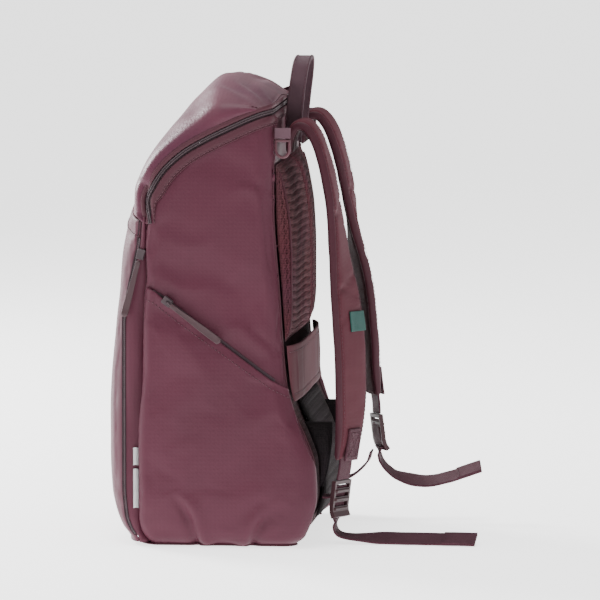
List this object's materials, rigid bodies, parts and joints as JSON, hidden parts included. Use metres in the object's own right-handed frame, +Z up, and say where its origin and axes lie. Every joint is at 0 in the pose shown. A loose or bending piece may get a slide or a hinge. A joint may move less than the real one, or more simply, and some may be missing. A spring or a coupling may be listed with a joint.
{
  "type": "travel backpack",
  "caption": "Soft travel backpack with a curved zip lid that opens forward, front and side zip pockets, mesh back pads, luggage band and padded shoulder straps.",
  "frame": {"origin": "on the floor, at the middle of the base panel across the width, on its flat underside", "axes": "+X to the wearer's right, +Y towards the wearer's back (shoulder straps), -Y the front pocket, +Z up"},
  "size_m": [0.3, 0.3585, 0.466],
  "materials": {
    "wine_fabric": "fine coated weave, soft satin sheen",
    "lining": "plain woven lining",
    "base_fabric": "fine coated weave",
    "board": "matte",
    "air_mesh": "ribbed open mesh over foam",
    "black_mesh": "fine mesh over foam",
    "webbing": "ribbed webbing",
    "buckle": "moulded, slight sheen",
    "zip_tape": "woven tape with moulded teeth",
    "zip_slider": "satin",
    "zip_pull": "smooth grain",
    "teal_label": "woven label",
    "white_label": "folded woven label"
  },
  "bodies": {
    "root": {"adjuster_webbing_left": "webbing", "adjuster_webbing_right": "webbing", "back_frame_sheet": "board", "back_pad_left": "air_mesh", "back_pad_right": "air_mesh", "back_panel": "wine_fabric", "base_panel": "base_fabric", "base_stiffener": "board", "dring_tab_left": "webbing", "dring_tab_right": "webbing", "front_gusset_bottom": "wine_fabric", "front_gusset_left": "wine_fabric", "front_gusset_right": "wine_fabric", "front_inner_panel": "lining", "front_panel": "wine_fabric", "front_zip_chain_left": "zip_tape", "front_zip_chain_right": "zip_tape", "laptop_divider": "lining", "left_side_panel": "wine_fabric", "left_side_pocket": "wine_fabric", "left_side_zip_chain": "zip_tape", "lower_back_pad": "air_mesh", "luggage_band": "wine_fabric", "main_zip_tape_body": "zip_tape", "right_side_panel": "wine_fabric", "right_side_pocket": "wine_fabric", "right_side_zip_chain": "zip_tape", "side_label_lower": "white_label", "side_label_upper": "white_label", "strap_wing_left": "black_mesh", "strap_wing_right": "black_mesh"},
    "lid": {"lid_shell": "wine_fabric", "main_zip_tape_lid": "zip_tape"},
    "handle": {"grab_handle": "webbing"},
    "strap_right": {"shoulder_strap_right": "wine_fabric", "strap_end_patch_right": "webbing", "strap_label": "teal_label"},
    "strap_left": {"shoulder_strap_left": "wine_fabric", "strap_end_patch_left": "webbing"},
    "lock_right": {"ladder_lock_right": "buckle", "webbing_tail_right": "webbing"},
    "lock_left": {"ladder_lock_left": "buckle", "webbing_tail_left": "webbing"},
    "ring_right": {"dring_right": "buckle"},
    "ring_left": {"dring_left": "buckle"},
    "side_slider_right": {"right_side_zip_slider": "zip_slider"},
    "side_slider_left": {"left_side_zip_slider": "zip_slider"},
    "side_pull_right": {"right_side_zip_pull": "zip_pull"},
    "side_pull_left": {"left_side_zip_pull": "zip_pull"},
    "front_slider": {"front_zip_slider": "zip_slider"},
    "front_pull": {"front_zip_pull": "zip_pull"},
    "main_slider": {"main_zip_slider": "zip_slider"},
    "main_pull": {"main_zip_pull": "zip_pull"}
  },
  "joints": [
    {"name": "lid_hinge", "type": "hinge", "parent": "root", "child": "lid", "pos_m": [0, -0.0975, 0.3205], "axis": [1, 0, 0], "range_deg": [0, 110]},
    {"name": "handle_swing", "type": "hinge", "parent": "root", "child": "handle", "pos_m": [0, 0.0551, 0.388], "axis": [1, 0, 0], "range_deg": [-45, 0]},
    {"name": "strap_swing_right", "type": "hinge", "parent": "root", "child": "strap_right", "pos_m": [0.062, 0.056, 0.386], "axis": [1, 0, 0], "range_deg": [0, 15]},
    {"name": "strap_swing_left", "type": "hinge", "parent": "root", "child": "strap_left", "pos_m": [-0.062, 0.056, 0.386], "axis": [1, 0, 0], "range_deg": [0, 15]},
    {"name": "lock_tilt_right", "type": "hinge", "parent": "strap_right", "child": "lock_right", "pos_m": [0.0905, 0.10852, 0.06138], "axis": [1, 0, 0], "range_deg": [0, 25]},
    {"name": "lock_tilt_left", "type": "hinge", "parent": "strap_left", "child": "lock_left", "pos_m": [-0.09, 0.12439, 0.10487], "axis": [1, 0, 0], "range_deg": [0, 25]},
    {"name": "ring_swing_right", "type": "hinge", "parent": "root", "child": "ring_right", "pos_m": [0.1205, 0.054, 0.3925], "axis": [0, -1, 0], "range_deg": [0, 70]},
    {"name": "ring_swing_left", "type": "hinge", "parent": "root", "child": "ring_left", "pos_m": [-0.1205, 0.054, 0.3925], "axis": [0, 1, 0], "range_deg": [0, 70]},
    {"name": "side_zip_right", "type": "slide", "parent": "root", "child": "side_slider_right", "axis": [0, 0.8051, -0.5931], "range_m": [0, 0.118]},
    {"name": "side_pull_swing_right", "type": "hinge", "parent": "side_slider_right", "child": "side_pull_right", "pos_m": [0.147, -0.05192, 0.2361], "axis": [0, -0.5931, -0.8051], "range_deg": [0, 120]},
    {"name": "side_zip_left", "type": "slide", "parent": "root", "child": "side_slider_left", "axis": [0, 0.8051, -0.5931], "range_m": [0, 0.118]},
    {"name": "side_pull_swing_left", "type": "hinge", "parent": "side_slider_left", "child": "side_pull_left", "pos_m": [-0.147, -0.05192, 0.2361], "axis": [0, 0.5931, 0.8051], "range_deg": [0, 120]},
    {"name": "front_zip", "type": "slide", "parent": "root", "child": "front_slider", "axis": [0, -0.2607, -0.9654], "range_m": [0, 0.045]},
    {"name": "front_pull_swing", "type": "hinge", "parent": "front_slider", "child": "front_pull", "pos_m": [0.1372, -0.08312, 0.27801], "axis": [0, -0.9654, 0.2607], "range_deg": [0, 120]},
    {"name": "main_zip", "type": "slide", "parent": "root", "child": "main_slider", "axis": [1, 0, 0], "range_m": [-0.016, 0.016]},
    {"name": "main_pull_swing", "type": "hinge", "parent": "main_slider", "child": "main_pull", "pos_m": [0, 0.051, 0.42], "axis": [1, 0, 0], "range_deg": [0, 110]}
  ]
}
